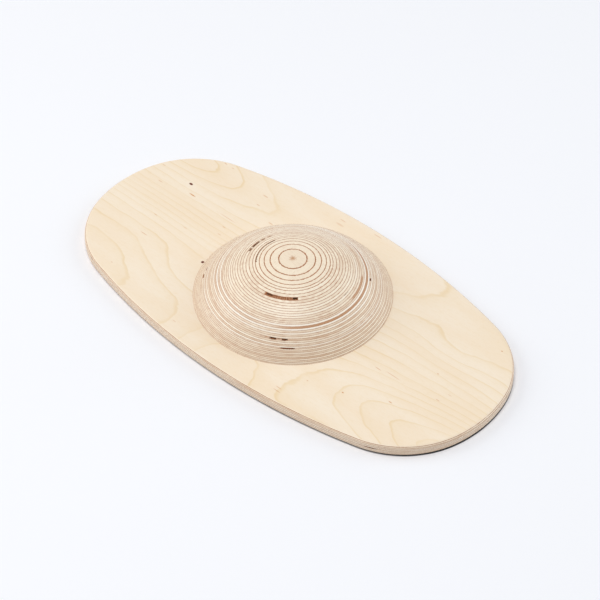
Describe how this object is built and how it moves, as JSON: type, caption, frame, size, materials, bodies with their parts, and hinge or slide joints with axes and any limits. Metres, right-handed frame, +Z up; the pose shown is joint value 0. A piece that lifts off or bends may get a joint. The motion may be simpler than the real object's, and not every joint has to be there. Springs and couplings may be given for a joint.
{
  "type": "balance board",
  "caption": "Long oval plywood balance board with rounded edges, carried on a turned plywood dome glued under its middle.",
  "frame": {"origin": "on the floor under the middle of the deck, with the board lying on its standing face and the dome up; in use the board is turned over", "axes": "+X along the board, +Y across the board, +Z up from the standing face through the top of the dome"},
  "size_m": [0.598, 0.303, 0.0718],
  "materials": {
    "birch_along": "clear satin lacquer on birch veneer, grain along the board",
    "birch_across": "clear satin lacquer on birch veneer, grain across the board",
    "beech_dowel": "plain beech, glued in"
  },
  "bodies": {
    "root": {"deck_ply_01": "birch_along", "deck_ply_02": "birch_across", "deck_ply_03": "birch_along", "deck_ply_04": "birch_across", "deck_ply_05": "birch_along", "deck_ply_06": "birch_across", "deck_ply_07": "birch_along", "deck_ply_08": "birch_across", "deck_ply_09": "birch_along", "deck_ply_10": "birch_across", "deck_ply_11": "birch_along", "dome_base_ply_01": "birch_along", "dome_base_ply_02": "birch_across", "dome_base_ply_03": "birch_along", "dome_base_ply_04": "birch_across", "dome_base_ply_05": "birch_along", "dome_base_ply_06": "birch_across", "dome_base_ply_07": "birch_along", "dome_base_ply_08": "birch_across", "dome_base_ply_09": "birch_along", "dome_base_ply_10": "birch_across", "dome_base_ply_11": "birch_along", "dome_cap_ply_01": "birch_along", "dome_cap_ply_02": "birch_across", "dome_cap_ply_03": "birch_along", "dome_cap_ply_04": "birch_across", "dome_cap_ply_05": "birch_along", "dome_lower_ply_01": "birch_along", "dome_lower_ply_02": "birch_across", "dome_lower_ply_03": "birch_along", "dome_lower_ply_04": "birch_across", "dome_lower_ply_05": "birch_along", "dome_lower_ply_06": "birch_across", "dome_lower_ply_07": "birch_along", "dome_lower_ply_08": "birch_across", "dome_lower_ply_09": "birch_along", "dome_lower_ply_10": "birch_across", "dome_lower_ply_11": "birch_along", "dome_lower_ply_12": "birch_across", "dome_lower_ply_13": "birch_along", "dome_upper_ply_01": "birch_along", "dome_upper_ply_02": "birch_across", "dome_upper_ply_03": "birch_along", "dome_upper_ply_04": "birch_across", "dome_upper_ply_05": "birch_along", "dome_upper_ply_06": "birch_across", "dome_upper_ply_07": "birch_along", "dome_upper_ply_08": "birch_across", "dome_upper_ply_09": "birch_along", "dome_upper_ply_10": "birch_across", "dome_upper_ply_11": "birch_along", "dome_upper_ply_12": "birch_across", "dome_upper_ply_13": "birch_along", "dowel_1": "beech_dowel", "dowel_2": "beech_dowel", "dowel_3": "beech_dowel"}
  },
  "joints": []
}
